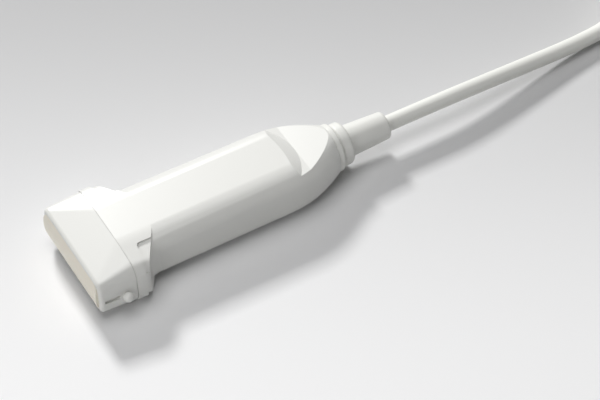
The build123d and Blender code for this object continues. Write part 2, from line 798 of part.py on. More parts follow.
with BuildPart() as connector_shell_rear:
    add(shell_solid.part)
    with BuildSketch(plug_face(shell_joint + lip_thickness)):
        Rectangle(connector_length + 2, connector_height + 2)
    extrude(amount=connector_depth, mode=Mode.SUBTRACT)
    with BuildSketch(plug_face(half_depth - connector_wall)):
        RectangleRounded(inner_length, inner_height, 3.0)
        with GridLocations(screw_x, screw_z, 2, 2):
            Circle(boss_radius, mode=Mode.SUBTRACT)
    extrude(amount=half_depth, mode=Mode.SUBTRACT)
    with BuildSketch(plug_face(half_depth)):
        Circle(bush_radius + 0.05)
        with GridLocations(screw_x, screw_z, 2, 2):
            Circle(screw_clearance_radius)
    extrude(amount=toward_back(1), both=True, mode=Mode.SUBTRACT)
    with BuildSketch(plug_face(half_depth + 1)):
        Circle(bush_radius + 0.05)
        with GridLocations(screw_x, screw_z, 2, 2):
            Circle(screw_clearance_radius)
    extrude(amount=half_depth + 2, mode=Mode.SUBTRACT)
    with BuildSketch(plug_face(half_depth + 1)):
        with GridLocations(screw_x, screw_z, 2, 2):
            Circle(counterbore_radius)
    extrude(amount=3.2, mode=Mode.SUBTRACT)
    with BuildSketch(cable_entry):
        Circle(entry_radius)
    extrude(amount=connector_wall + 2, mode=Mode.SUBTRACT)
save(connector_shell_rear, "connector_shell_rear")

with BuildPart() as connector_gasket:
    with BuildSketch(plug_face(shell_joint)):
        RectangleRounded(connector_length - 0.6, connector_height - 0.6, 4.6)
        RectangleRounded(inner_length, inner_height, 3.0, mode=Mode.SUBTRACT)
    extrude(amount=toward_back(lip_thickness))
    with BuildSketch(cable_entry):
        Circle(entry_radius)
    extrude(amount=connector_wall + 2, mode=Mode.SUBTRACT)
save(connector_gasket, "connector_gasket")

with BuildPart() as connector_screws:
    with BuildSketch(plug_face(half_depth - 2.2)):
        with GridLocations(screw_x, screw_z, 2, 2):
            Circle(counterbore_radius - 0.1)
    extrude(amount=toward_back(1.6))
    with BuildSketch(plug_face(half_depth - 2.2)):
        with GridLocations(screw_x, screw_z, 2, 2):
            Circle(screw_bore_radius - 0.05)
    extrude(amount=22.0)
    with BuildSketch(plug_face(half_depth)):
        with GridLocations(screw_x, screw_z, 2, 2):
            RegularPolygon(1.0, 6)
    extrude(amount=1.6, mode=Mode.SUBTRACT)
save(connector_screws, "connector_screws")

# Contacts: an insulating block with two fields of blades, one each side of the lock shaft
contact_columns = 8
contact_rows = 5
contact_pitch_x = 2.6
contact_pitch_z = 3.2
contact_length = 12.0
contact_width = 0.8
contact_height = 1.5
slot_margin = 0.1
field_centre = 18.0
block_face = -half_depth + 1.0

with BuildPart() as pin_block:
    with BuildSketch(plug_face(block_face)):
        RectangleRounded(block_length, block_height, 1.0)
        Circle(bush_radius + 0.05, mode=Mode.SUBTRACT)
        with GridLocations(2 * field_centre, 0, 2, 1):
            with GridLocations(contact_pitch_x, contact_pitch_z, contact_columns, contact_rows):
                Rectangle(contact_width + slot_margin, contact_height + slot_margin, mode=Mode.SUBTRACT)
    extrude(amount=toward_back(block_depth))
    with BuildSketch(plug_face(-half_depth + connector_wall)):
        RectangleRounded(block_length, block_height + 6, 1.0)
        Rectangle(block_length, block_height - 0.1, mode=Mode.SUBTRACT)
    extrude(amount=toward_back(2.0))
save(pin_block, "pin_block")

with BuildPart() as contact_pins:
    with BuildSketch(plug_face(block_face - 0.5)):
        with GridLocations(2 * field_centre, 0, 2, 1):
            with GridLocations(contact_pitch_x, contact_pitch_z, contact_columns, contact_rows):
                Rectangle(contact_width, contact_height)
    extrude(amount=toward_back(contact_length))
save(contact_pins, "contact_pins")

board_face = block_face + block_depth

with BuildPart() as connector_board:
    with BuildSketch(plug_face(board_face)):
        RectangleRounded(block_length - 1, block_height, 1.5)
        Circle(bush_radius + 1.0, mode=Mode.SUBTRACT)
        with GridLocations(2 * field_centre, 0, 2, 1):
            with GridLocations(contact_pitch_x, contact_pitch_z, contact_columns, contact_rows):
                Rectangle(contact_width + slot_margin, contact_height + slot_margin, mode=Mode.SUBTRACT)
    extrude(amount=toward_back(1.6))
save(connector_board, "connector_board")

# Shield can of the connector: four folded walls inside both shells
with BuildPart() as connector_shield:
    with BuildSketch(plug_face(half_depth - connector_wall - 1)):
        Rectangle(inner_length - 16, inner_height)
        offset(amount=-0.4, mode=Mode.SUBTRACT)
    extrude(amount=half_depth - 2)
save(connector_shield, "connector_shield")

# Boot where the cable enters the connector
boot_axis = Axis((plug_x, plug_y, plug_axis_height), (1, 0, 0))
boot_front_x = front_x + boot_start

with BuildPart() as connector_boot:
    with BuildSketch(Plane.XZ.offset(-plug_y)):
        Polygon((boot_front_x, plug_axis_height + cable_hole),
                (boot_front_x, plug_axis_height + 5.6), (plug_left_x - 6, plug_axis_height + 7.4),
                (plug_left_x - 4, plug_axis_height + 9.4), (plug_left_x, plug_axis_height + 9.4),
                (plug_left_x, plug_axis_height + entry_radius),
                (plug_left_x + connector_wall, plug_axis_height + entry_radius),
                (plug_left_x + connector_wall, plug_axis_height + 8.0),
                (plug_left_x + connector_wall + 2.0, plug_axis_height + 8.0),
                (plug_left_x + connector_wall + 2.0, plug_axis_height),
                (boot_front_x + boot_socket, plug_axis_height),
                (boot_front_x + boot_socket, plug_axis_height + cable_hole), align=None)
    revolve(axis=boot_axis)
save(connector_boot, "connector_boot")

# Quarter-turn lock: shaft with its cross key, two bushes, a clip and the handle
key_y = -half_depth - shroud_depth + 1.0
key_thickness = 2.4
key_height = 3.2
shaft_back_y = half_depth + 13.0
rear_bush_y = half_depth - connector_wall - 1.6
handle_gap = 0.4
handle_y = half_depth + 0.8 + handle_gap
grip_length = 29.0

with BuildPart() as lock_bushes:
    with BuildSketch(plug_face(half_depth + 0.8)):
        Circle(bush_flange_radius)
        Circle(shaft_hole, mode=Mode.SUBTRACT)
    extrude(amount=0.8)
    with BuildSketch(plug_face(half_depth)):
        Circle(bush_radius)
        Circle(shaft_hole, mode=Mode.SUBTRACT)
    extrude(amount=connector_wall + 1.6)
    with BuildSketch(plug_face(block_face)):
        Circle(bush_radius)
        Circle(shaft_hole, mode=Mode.SUBTRACT)
    extrude(amount=toward_back(block_depth))
save(lock_bushes, "lock_bushes")

with BuildPart() as lock_shaft:
    with BuildSketch(plug_face(key_y)):
        Circle(lock_shaft_radius)
    extrude(amount=toward_back(shaft_back_y - key_y))
    with BuildSketch(plug_face(handle_y + 2.0)):
        Rectangle(20, 20)
        Rectangle(20, 4.6, mode=Mode.SUBTRACT)
    extrude(amount=toward_back(20), mode=Mode.SUBTRACT)
    with BuildSketch(plug_face(rear_bush_y - 0.05)):
        Circle(lock_shaft_radius + 1)
        Circle(lock_shaft_radius - 0.6, mode=Mode.SUBTRACT)
    extrude(amount=0.9, mode=Mode.SUBTRACT)
    with BuildSketch(plug_face(key_y + 1.0)):
        Rectangle(2 * lock_shaft_radius + 1, key_height)
    extrude(amount=toward_back(key_thickness), mode=Mode.SUBTRACT)
    chamfer(faces().sort_by(Axis.Y)[0].edges(), 0.5)
save(lock_shaft, "lock_shaft")

with BuildPart() as lock_key:
    with BuildSketch(plug_face(key_y + 1.0)):
        SlotOverall(13.0, key_height)
    extrude(amount=toward_back(key_thickness))
save(lock_key, "lock_key")

with BuildPart() as lock_clip:
    with BuildSketch(plug_face(rear_bush_y - 0.1)):
        Circle(lock_shaft_radius + 2.0)
        Circle(lock_shaft_radius - 0.55, mode=Mode.SUBTRACT)
        with Locations((0, -4)):
            Rectangle(3.0, 6.0, mode=Mode.SUBTRACT)
    extrude(amount=0.8)
save(lock_clip, "lock_clip")

with BuildPart() as lock_handle:
    with BuildSketch(plug_face(handle_y)):
        Circle(11.0)
    extrude(amount=toward_back(3.0))
    with BuildSketch(plug_face(handle_y + 3.0)):
        SlotOverall(grip_length, 8.0)
    extrude(amount=toward_back(10.0), taper=4)
    fillet(faces().sort_by(Axis.Y)[-1].edges(), 1.2)
    with BuildSketch(plug_face(handle_y)):
        Circle(lock_shaft_radius + 0.02)
    extrude(amount=toward_back(2.0), mode=Mode.SUBTRACT)
    with BuildSketch(plug_face(handle_y + 2.0)):
        Rectangle(6.1, 4.62)
    extrude(amount=toward_back(shaft_back_y - handle_y - 2.0 + 0.1), mode=Mode.SUBTRACT)
save(lock_handle, "lock_handle")
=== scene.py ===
"""Linear-array ultrasound probe with its cable and system connector, dressed for its picture.

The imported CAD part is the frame. Sizes are in metres, +X runs from the lens to the tail, +Z is up, and
the probe lies on the flat underside of its grip. The cable's points repeat the route of the part's source.
"""

from math import cos, pi, radians, sin

import bpy
import numpy as np
from mathutils import Matrix, Vector


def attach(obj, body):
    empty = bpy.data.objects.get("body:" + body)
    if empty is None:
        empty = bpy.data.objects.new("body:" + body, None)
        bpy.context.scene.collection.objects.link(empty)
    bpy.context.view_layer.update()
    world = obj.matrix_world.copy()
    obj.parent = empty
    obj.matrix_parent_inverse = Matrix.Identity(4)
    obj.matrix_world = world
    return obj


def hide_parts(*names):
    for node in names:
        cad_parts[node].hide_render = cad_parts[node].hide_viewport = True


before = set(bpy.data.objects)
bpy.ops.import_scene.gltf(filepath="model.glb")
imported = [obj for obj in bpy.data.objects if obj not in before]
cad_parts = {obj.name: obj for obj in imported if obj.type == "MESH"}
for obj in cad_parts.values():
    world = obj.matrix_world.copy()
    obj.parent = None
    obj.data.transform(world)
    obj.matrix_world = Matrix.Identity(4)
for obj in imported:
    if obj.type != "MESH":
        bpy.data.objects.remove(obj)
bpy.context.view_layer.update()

bl_info = {
    "name": "Ultrasound Probe",
    "version": (1, 0, 0),
    "blender": (4, 5, 0),
    "location": "View3D > Sidebar > Probe",
    "description": "Dresses the packed ultrasound probe and sets its studio",
    "category": "Object",
}

MM = 0.001
FRONT_X = -0.07155


def station(distance, y=0.0, z=12.0):
    """A point at a distance behind where the head's rounded face begins, in mm, as metres in the frame."""
    return (FRONT_X + distance * MM, y * MM, z * MM)


# Settings that a user would change


class ProbeFinish(bpy.types.PropertyGroup):
    housing: bpy.props.FloatVectorProperty(
        name="Housing", description="Colour of the moulded housing", subtype="COLOR", size=3,
        min=0.0, max=1.0, default=(0.78, 0.78, 0.75))
    lens: bpy.props.FloatVectorProperty(
        name="Lens", description="Colour of the silicone lens", subtype="COLOR", size=3,
        min=0.0, max=1.0, default=(0.90, 0.845, 0.725))
    relief: bpy.props.FloatVectorProperty(
        name="Strain relief", description="Colour of the soft strain relief", subtype="COLOR", size=3,
        min=0.0, max=1.0, default=(0.80, 0.80, 0.765))
    jacket: bpy.props.FloatVectorProperty(
        name="Cable jacket", description="Colour of the cable's jacket", subtype="COLOR", size=3,
        min=0.0, max=1.0, default=(0.85, 0.85, 0.81))
    connector: bpy.props.FloatVectorProperty(
        name="Connector", description="Colour of the connector's shells", subtype="COLOR", size=3,
        min=0.0, max=1.0, default=(0.66, 0.665, 0.65))


class CableSizes(bpy.types.PropertyGroup):
    diameter: bpy.props.FloatProperty(
        name="Diameter", description="Outside diameter of the cable", subtype="DISTANCE", unit="LENGTH",
        default=0.007)
    column_pitch: bpy.props.FloatProperty(
        name="Column pitch", description="Distance between the coil's two columns", subtype="DISTANCE",
        unit="LENGTH", default=0.0073)
    inner_radius: bpy.props.FloatProperty(
        name="Inner turn radius", description="Radius of the inner column's bends", subtype="DISTANCE",
        unit="LENGTH", default=0.02615)
    straight: bpy.props.FloatProperty(
        name="Straight", description="Length of the coil's straight runs", subtype="DISTANCE", unit="LENGTH",
        default=0.031)


class StageSettings(bpy.types.PropertyGroup):
    azimuth: bpy.props.FloatProperty(
        name="Azimuth", description="Camera's direction round the probe, in degrees", default=-27.35)
    elevation: bpy.props.FloatProperty(
        name="Elevation", description="Camera's height above the floor's plane, in degrees", default=46.9)
    roll: bpy.props.FloatProperty(
        name="Roll", description="Camera's turn about its own axis, in degrees", default=-3.06)
    distance: bpy.props.FloatProperty(
        name="Distance", description="From the camera to its target", subtype="DISTANCE", unit="LENGTH",
        default=0.971)
    focal: bpy.props.FloatProperty(
        name="Focal length", description="Focal length in picture widths", default=3.9245)
    target: bpy.props.FloatVectorProperty(
        name="Target", description="Point that the camera looks at", subtype="XYZ", size=3,
        default=(0.0220, -0.01919, 0.012))
    # The floor's two colours are painted light: the far one is painted shade and the near one is painted
    # light, blended into a falloff across the floor.
    floor_far_painted_shade: bpy.props.FloatVectorProperty(
        name="Far floor", description="Colour of the floor behind the probe", subtype="COLOR", size=3,
        min=0.0, max=1.0, default=(0.46, 0.46, 0.465))
    floor_near_painted_light: bpy.props.FloatVectorProperty(
        name="Near floor", description="Colour of the floor in front of the probe", subtype="COLOR", size=3,
        min=0.0, max=1.0, default=(0.955, 0.955, 0.96))


def finish_settings():
    return bpy.context.scene.probe_finish


def cable_sizes():
    return bpy.context.scene.probe_cable


def stage_settings():
    return bpy.context.scene.probe_stage


# Shader groups shared by several materials


def new_group(name, inputs, outputs):
    """An empty shader group with float or colour sockets, and its input and output nodes."""
    group = bpy.data.node_groups.new(name, "ShaderNodeTree")
    for label, kind, default in inputs:
        socket = group.interface.new_socket(name=label, in_out="INPUT", socket_type=kind)
        socket.default_value = default
    for label, kind in outputs:
        group.interface.new_socket(name=label, in_out="OUTPUT", socket_type=kind)
    entry = group.nodes.new("NodeGroupInput")
    result = group.nodes.new("NodeGroupOutput")
    return group, entry, result


def add_node(tree, kind, **settings):
    """A node of that kind: names of its attributes set those, and names of sockets set their defaults."""
    node = tree.nodes.new(kind)
    for key, value in settings.items():
        if hasattr(node, key):
            setattr(node, key, value)
        else:
            node.inputs[key.replace("_", " ").title()].default_value = value
    return node


def maths(tree, operation, first, second=None, clamp=False):
    """A math node fed by sockets or numbers."""
    node = tree.nodes.new("ShaderNodeMath")
    node.operation = operation
    node.use_clamp = clamp
    for index, value in enumerate((first, second)):
        if value is None:
            continue
        if isinstance(value, (int, float)):
            node.inputs[index].default_value = value
        else:
            tree.links.new(value, node.inputs[index])
    return node.outputs[0]


def blend_colours(tree, share, first, second):
    """A mix of two colours, each a socket or a colour."""
    node = tree.nodes.new("ShaderNodeMix")
    node.data_type = "RGBA"
    for socket, value in ((node.inputs[0], share), (node.inputs[6], first), (node.inputs[7], second)):
        if isinstance(value, bpy.types.NodeSocket):
            tree.links.new(value, socket)
        else:
            socket.default_value = value
    return node.outputs[2]


def surface_group():
    """Colour that drifts in soft patches, roughness that drifts with it, and a fine grain as height."""
    name = "moulded_surface"
    if name in bpy.data.node_groups:
        return bpy.data.node_groups[name]
    group, entry, result = new_group(
        name,
        [("Colour", "NodeSocketColor", (0.8, 0.8, 0.8, 1)), ("Shade", "NodeSocketColor", (0.7, 0.7, 0.7, 1)),
         ("Patch Scale", "NodeSocketFloat", 60.0), ("Patch Amount", "NodeSocketFloat", 0.5),
         ("Grain Scale", "NodeSocketFloat", 2500.0), ("Roughness", "NodeSocketFloat", 0.4),
         ("Roughness Spread", "NodeSocketFloat", 0.1)],
        [("Colour", "NodeSocketColor"), ("Roughness", "NodeSocketFloat"), ("Height", "NodeSocketFloat")])
    place = group.nodes.new("ShaderNodeTexCoord").outputs["Object"]
    patches = add_node(group, "ShaderNodeTexNoise", detail=4.0, roughness=0.6)
    grain = add_node(group, "ShaderNodeTexNoise", detail=3.0, roughness=0.55)
    group.links.new(place, patches.inputs["Vector"])
    group.links.new(place, grain.inputs["Vector"])
    group.links.new(entry.outputs["Patch Scale"], patches.inputs["Scale"])
    group.links.new(entry.outputs["Grain Scale"], grain.inputs["Scale"])
    share = maths(group, "MULTIPLY", patches.outputs["Fac"], entry.outputs["Patch Amount"], clamp=True)
    colour = blend_colours(group, share, entry.outputs["Colour"], entry.outputs["Shade"])
    drift = maths(group, "MULTIPLY", maths(group, "SUBTRACT", patches.outputs["Fac"], 0.5),
                  entry.outputs["Roughness Spread"])
    group.links.new(colour, result.inputs["Colour"])
    group.links.new(maths(group, "ADD", entry.outputs["Roughness"], drift, clamp=True),
                    result.inputs["Roughness"])
    group.links.new(grain.outputs["Fac"], result.inputs["Height"])
    return group


def weave_group():
    """Height and shade of a plain weave: two crossed waves, one along X and one along Y plus Z."""
    name = "strap_weave"
    if name in bpy.data.node_groups:
        return bpy.data.node_groups[name]
    group, entry, result = new_group(
        name, [("Threads", "NodeSocketFloat", 1200.0)],
        [("Height", "NodeSocketFloat"), ("Shade", "NodeSocketFloat")])
    place = group.nodes.new("ShaderNodeTexCoord").outputs["Object"]
    split = group.nodes.new("ShaderNodeSeparateXYZ")
    group.links.new(place, split.inputs[0])
    turn = maths(group, "MULTIPLY", entry.outputs["Threads"], 2 * pi)
    warp = maths(group, "SINE", maths(group, "MULTIPLY", split.outputs["X"], turn))
    around = maths(group, "ADD", split.outputs["Y"], split.outputs["Z"])
    weft = maths(group, "SINE", maths(group, "MULTIPLY", around, turn))
    weave = maths(group, "MULTIPLY", warp, weft)
    group.links.new(maths(group, "MULTIPLY_ADD", weave, 0.5), result.inputs["Height"])
    group.links.new(maths(group, "ABSOLUTE", weave), result.inputs["Shade"])
    return group


def colour4(colour):
    """A colour with its alpha."""
    return (*tuple(colour)[:3], 1.0)


SOFT_RADIUS = (0.004, 0.003, 0.002)


def surface_material(name, colour, shade=0.88, patch_scale=60.0, patch_amount=0.6, grain_scale=2500.0,
                     grain_depth=0.00002, roughness=0.4, spread=0.1, metallic=0.0, coat=0.0,
                     coat_roughness=0.2, soft=0.0):
    """A material whose colour, roughness and grain come from the shared surface group."""
    material = bpy.data.materials.new(name)
    material.use_nodes = True
    tree = material.node_tree
    shader = tree.nodes["Principled BSDF"]
    group = tree.nodes.new("ShaderNodeGroup")
    group.node_tree = surface_group()
    group.inputs["Colour"].default_value = colour4(colour)
    group.inputs["Shade"].default_value = colour4([value * shade for value in tuple(colour)[:3]])
    group.inputs["Patch Scale"].default_value = patch_scale
    group.inputs["Patch Amount"].default_value = patch_amount
    group.inputs["Grain Scale"].default_value = grain_scale
    group.inputs["Roughness"].default_value = roughness
    group.inputs["Roughness Spread"].default_value = spread
    tree.links.new(group.outputs["Colour"], shader.inputs["Base Color"])
    tree.links.new(group.outputs["Roughness"], shader.inputs["Roughness"])
    bump = tree.nodes.new("ShaderNodeBump")
    bump.inputs["Strength"].default_value = 1.0
    bump.inputs["Distance"].default_value = grain_depth
    tree.links.new(group.outputs["Height"], bump.inputs["Height"])
    tree.links.new(bump.outputs["Normal"], shader.inputs["Normal"])
    shader.inputs["Metallic"].default_value = metallic
    shader.inputs["Coat Weight"].default_value = coat
    shader.inputs["Coat Roughness"].default_value = coat_roughness
    shader.inputs["Subsurface Weight"].default_value = soft
    shader.inputs["Subsurface Radius"].default_value = SOFT_RADIUS
    shader.inputs["Subsurface Scale"].default_value = 1.0
    return material


def fabric_material(name, colour):
    """Woven strap: the weave shades the colour and raises the threads."""
    material = bpy.data.materials.new(name)
    material.use_nodes = True
    tree = material.node_tree
    shader = tree.nodes["Principled BSDF"]
    weave = tree.nodes.new("ShaderNodeGroup")
    weave.node_tree = weave_group()
    shaded = blend_colours(tree, weave.outputs["Shade"], colour4(colour),
                           colour4([value * 1.9 for value in colour]))
    tree.links.new(shaded, shader.inputs["Base Color"])
    bump = tree.nodes.new("ShaderNodeBump")
    bump.inputs["Distance"].default_value = 0.00015
    tree.links.new(weave.outputs["Height"], bump.inputs["Height"])
    tree.links.new(bump.outputs["Normal"], shader.inputs["Normal"])
    shader.inputs["Roughness"].default_value = 0.85
    shader.inputs["Sheen Weight"].default_value = 0.4
    return material


def dress(node_names, material):
    """Gives CAD nodes a material in place of the plain one that they came with."""
    for node_name in node_names:
        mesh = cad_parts[node_name].data
        mesh.materials.clear()
        mesh.materials.append(material)


# The cable: one spline from the clamp through the coil to the connector

COIL_START = 274.0
COIL_BOTTOM = 4.4
TURN_POINTS = 16
ARC_STEP = 30.0
TRACKS = (("outer", 0), ("inner", 0), ("inner", 1), ("outer", 1),
          ("outer", 2), ("inner", 2), ("inner", 3), ("outer", 3))
FIRST_CHANGE = 0.74
CHANGE_PITCH = 0.938
CHANGE_LENGTH = 0.2
LAST_TURN = 7.19
LEAD = [(104.0, 0.0, 12.0), (158.0, 0.0, 12.0), (186.0, 0.3, 11.4), (222.0, 3.0, 7.4), (247.0, 5.1, 4.6),
        (268.0, 7.0, COIL_BOTTOM), (282.0, 18.0, COIL_BOTTOM), (295.0, 31.5, COIL_BOTTOM)]
TAIL = [(376.5, 20.5, 25.0), (388.0, 10.2, 21.2), (399.0, 3.9, 18.0), (409.5, 2.0, 17.0)]
TUBE_STEPS = 8


def ring_point(index, radius, half_straight, centre_x):
    """Control point on a track round the coil: two straight runs of two spans and two arcs of six."""
    place = index % TURN_POINTS
    swell = 1.0 / cos(radians(ARC_STEP / 2))
    if place in (0, 1, 2):
        return centre_x + (place - 1) * half_straight, radius
    if place in (8, 9, 10):
        return centre_x + (9 - place) * half_straight, -radius
    right = place < 8
    angle = radians(90 - ARC_STEP * (place - 2) if right else 270 - ARC_STEP * (place - 10))
    side = half_straight if right else -half_straight
    return centre_x + side + radius * swell * cos(angle), radius * swell * sin(angle)


def smooth_step(value):
    """Zero below 0, one above 1, and a smooth rise between."""
    value = min(max(value, 0.0), 1.0)
    return value * value * (3 - 2 * value)


def track_place(turn, inner, outer, pitch):
    """Radius and height of the strand after that many turns, changing track once a turn."""
    radius = {"inner": inner, "outer": outer}
    column, layer = TRACKS[0]
    now = np.array((radius[column], layer * pitch))
    for change, (column, layer) in enumerate(TRACKS[1:]):
        middle = FIRST_CHANGE + change * CHANGE_PITCH
        share = smooth_step((turn - middle) / CHANGE_LENGTH + 0.5)
        now = now + share * (np.array((radius[column], layer * pitch)) - now)
    return now


def cable_points():
    """The cable's control points: the lead, the coil's turns and the run to the connector."""
    sizes = cable_sizes()
    inner = sizes.inner_radius / MM
    outer = inner + sizes.column_pitch / MM
    half_straight = sizes.straight / MM / 2
    pitch = sizes.diameter / MM
    centre = COIL_START + outer + pitch / 2 + half_straight
    turns = []
    for index in range(int(LAST_TURN * TURN_POINTS) + 1):
        radius, height = track_place(index / TURN_POINTS, inner, outer, pitch)
        x, y = ring_point(index, radius, half_straight, centre)
        turns.append((x, y, COIL_BOTTOM + height))
    return [station(*point) for point in LEAD + turns + TAIL]


def build_cable():
    """A round tube along one smooth spline."""
    sizes = cable_sizes()
    points = cable_points()
    curve = bpy.data.curves.new("probe_cable", "CURVE")
    curve.dimensions = "3D"
    spline = curve.splines.new("NURBS")
    spline.points.add(len(points) - 1)
    spline.points.foreach_set("co", [value for point in points for value in (*point, 1.0)])
    spline.order_u = 3
    spline.use_endpoint_u = True
    spline.use_smooth = True
    curve.resolution_u = TUBE_STEPS
    curve.bevel_depth = sizes.diameter / 2
    curve.bevel_resolution = TUBE_STEPS
    curve.use_fill_caps = True
    cable = bpy.data.objects.new("probe_cable", curve)
    bpy.context.collection.objects.link(cable)
    curve.materials.append(surface_material(
        "cable_jacket_finish", finish_settings().jacket, shade=0.95, patch_scale=45, patch_amount=0.5,
        grain_scale=1800, grain_depth=0.00001, roughness=0.46, spread=0.08, coat=0.0))
    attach(cable, "probe")
    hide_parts("cable", "cable_coil", "cable_plug_end")
    return cable


# Operators: one for each piece or group of like pieces


class PROBE_OT_housing(bpy.types.Operator):
    """Finishes the nose piece and the two handle shells as satin moulded plastic"""

    bl_idname = "probe.housing"
    bl_label = "Housing"

    def execute(self, context):
        plastic = surface_material(
            "housing_finish", finish_settings().housing, shade=0.965, patch_scale=35, patch_amount=0.7,
            grain_scale=2600, grain_depth=0.000006, roughness=0.34, spread=0.06, coat=0.25,
            coat_roughness=0.22)
        dress(("nose_piece", "handle_shell_upper", "handle_shell_lower"), plastic)
        seal = surface_material("nose_seal_finish", (0.62, 0.62, 0.60), roughness=0.7, grain_scale=3000)
        dress(("nose_seal",), seal)
        return {"FINISHED"}


class PROBE_OT_lens(bpy.types.Operator):
    """Finishes the lens as smooth cream silicone"""

    bl_idname = "probe.lens"
    bl_label = "Lens"

    def execute(self, context):
        silicone = surface_material(
            "lens_finish", finish_settings().lens, shade=0.93, patch_scale=90, patch_amount=0.8,
            grain_scale=2200, grain_depth=0.000012, roughness=0.42, spread=0.1, soft=0.12)
        dress(("acoustic_lens",), silicone)
        return {"FINISHED"}


class PROBE_OT_strain_relief(bpy.types.Operator):
    """Finishes the tail ring and the strain relief as soft elastomer"""

    bl_idname = "probe.strain_relief"
    bl_label = "Strain relief"

    def execute(self, context):
        elastomer = surface_material(
            "relief_finish", finish_settings().relief, shade=0.95, patch_scale=70, patch_amount=0.6,
            grain_scale=2400, grain_depth=0.000012, roughness=0.44, spread=0.08)
        dress(("tail_ring", "strain_relief", "connector_boot"), elastomer)
        return {"FINISHED"}


class PROBE_OT_cable(bpy.types.Operator):
    """Lays the cable as one smooth tube and finishes the straps round its coil"""

    bl_idname = "probe.cable"
    bl_label = "Cable and straps"

    def execute(self, context):
        build_cable()
        dress(("coil_straps",), fabric_material("strap_finish", (0.045, 0.048, 0.055)))
        return {"FINISHED"}


class PROBE_OT_array(bpy.types.Operator):
    """Finishes the layers, the ceramic array and its backing behind the lens"""

    bl_idname = "probe.array"
    bl_label = "Array stack"

    def execute(self, context):
        dress(("matching_layer_outer",), surface_material("matching_outer_finish", (0.23, 0.20, 0.27)))
        dress(("matching_layer_inner",), surface_material("matching_inner_finish", (0.12, 0.12, 0.14)))
        dress(("ground_foil",), surface_material("foil_finish", (0.85, 0.48, 0.30), metallic=1.0,
                                                 roughness=0.28, grain_scale=900))
        dress(("piezo_array",), surface_material("ceramic_finish", (0.52, 0.47, 0.36), roughness=0.6))
        dress(("backing_block",), surface_material("backing_finish", (0.035, 0.035, 0.038), roughness=0.65,
                                                   grain_depth=0.00005))
        dress(("array_carrier", "board_chassis"),
              surface_material("carrier_finish", (0.05, 0.05, 0.055), roughness=0.5))
        return {"FINISHED"}


class PROBE_OT_electronics(bpy.types.Operator):
    """Finishes the boards, flexes, sockets, shield and conductors inside the handle"""

    bl_idname = "probe.electronics"
    bl_label = "Electronics"

    def execute(self, context):
        dress(("flex_circuit_upper", "flex_circuit_lower"),
              surface_material("flex_finish", (0.55, 0.25, 0.05), roughness=0.3, coat=0.4))
        dress(("interconnect_board_upper", "interconnect_board_lower", "connector_board"),
              surface_material("board_finish", (0.02, 0.17, 0.07), roughness=0.35, coat=0.5, grain_scale=700))
        dress(("flex_connectors",), surface_material("socket_finish", (0.70, 0.62, 0.45), roughness=0.5))
        dress(("tuning_inductors",), surface_material("ferrite_finish", (0.06, 0.055, 0.05), roughness=0.6))
        dress(("rf_shield", "connector_shield"),
              surface_material("tinned_finish", (0.68, 0.67, 0.63), metallic=1.0, roughness=0.36,
                               grain_scale=500, spread=0.2))
        dress(("conductor_bundle",), surface_material("sleeving_finish", (0.16, 0.21, 0.32), roughness=0.55))
        dress(("cable_clamp", "chassis_screws", "connector_screws", "lock_clip"),
              surface_material("screw_finish", (0.56, 0.56, 0.57), metallic=1.0, roughness=0.3))
        return {"FINISHED"}


class PROBE_OT_connector(bpy.types.Operator):
    """Finishes the system connector's shells, gasket, block and contacts"""

    bl_idname = "probe.connector"
    bl_label = "Connector"

    def execute(self, context):
        shell = surface_material(
            "connector_finish", finish_settings().connector, shade=0.94, patch_scale=50, grain_scale=1500,
            grain_depth=0.00004, roughness=0.5, spread=0.1)
        dress(("connector_shell_front", "connector_shell_rear"), shell)
        dress(("connector_gasket",), surface_material("gasket_finish", (0.06, 0.06, 0.06), roughness=0.7))
        dress(("pin_block",), surface_material("block_finish", (0.04, 0.04, 0.045), roughness=0.55))
        dress(("contact_pins",), surface_material("contact_finish", (0.86, 0.62, 0.24), metallic=1.0,
                                                  roughness=0.25))
        return {"FINISHED"}


class PROBE_OT_lock(bpy.types.Operator):
    """Finishes the quarter-turn lock: handle, shaft, key and bushes"""

    bl_idname = "probe.lock"
    bl_label = "Lock"

    def execute(self, context):
        dress(("lock_handle",), surface_material("lock_handle_finish", (0.11, 0.12, 0.14), roughness=0.48,
                                                 grain_scale=1500, grain_depth=0.00004))
        dress(("lock_shaft", "lock_key"), surface_material("shaft_finish", (0.60, 0.60, 0.61), metallic=1.0,
                                                           roughness=0.25, grain_scale=1200))
        dress(("lock_bushes",), surface_material("bush_finish", (0.52, 0.36, 0.18), metallic=1.0,
                                                 roughness=0.42))
        return {"FINISHED"}


# The stage: paper floor with painted light falloff, soft lamps, world and camera

FLOOR_SIDE = 4.0
# Direction, start and length of the painted light falloff across the floor's colour.
FALLOFF_DIRECTION = (-0.459, -0.888, 0.0)
FALLOFF_START = -0.21
FALLOFF_LENGTH = 0.35
AMBIENT_COLOUR = (0.97, 0.985, 1.0)
AMBIENT_STRENGTH = 0.05
BACKDROP_COLOUR = (0.80, 0.80, 0.80)
LAMPS = (
    ("key_light", (0.175, 1.427, 1.083), 0.30, 26.0, (1.0, 0.998, 0.99)),
    ("overhead_light", (-0.1, 0.1, 1.7), 1.2, 12.2, (1.0, 1.0, 1.0)),
    ("front_light", (-1.28, -0.6, 0.75), 0.8, 5.0, (1.0, 1.0, 1.0)),
)
SENSOR_WIDTH = 36.0


def area_light(name, place, size, power, colour):
    """A square soft light at a place, turned to the middle of the frame."""
    data = bpy.data.lights.new(name, "AREA")
    data.shape = "SQUARE"
    data.size = size
    data.energy = power
    data.color = colour
    light = bpy.data.objects.new(name, data)
    bpy.context.collection.objects.link(light)
    light.location = place
    light.rotation_mode = "QUATERNION"
    light.rotation_quaternion = (-Vector(place)).to_track_quat("-Z", "Y")
    return light


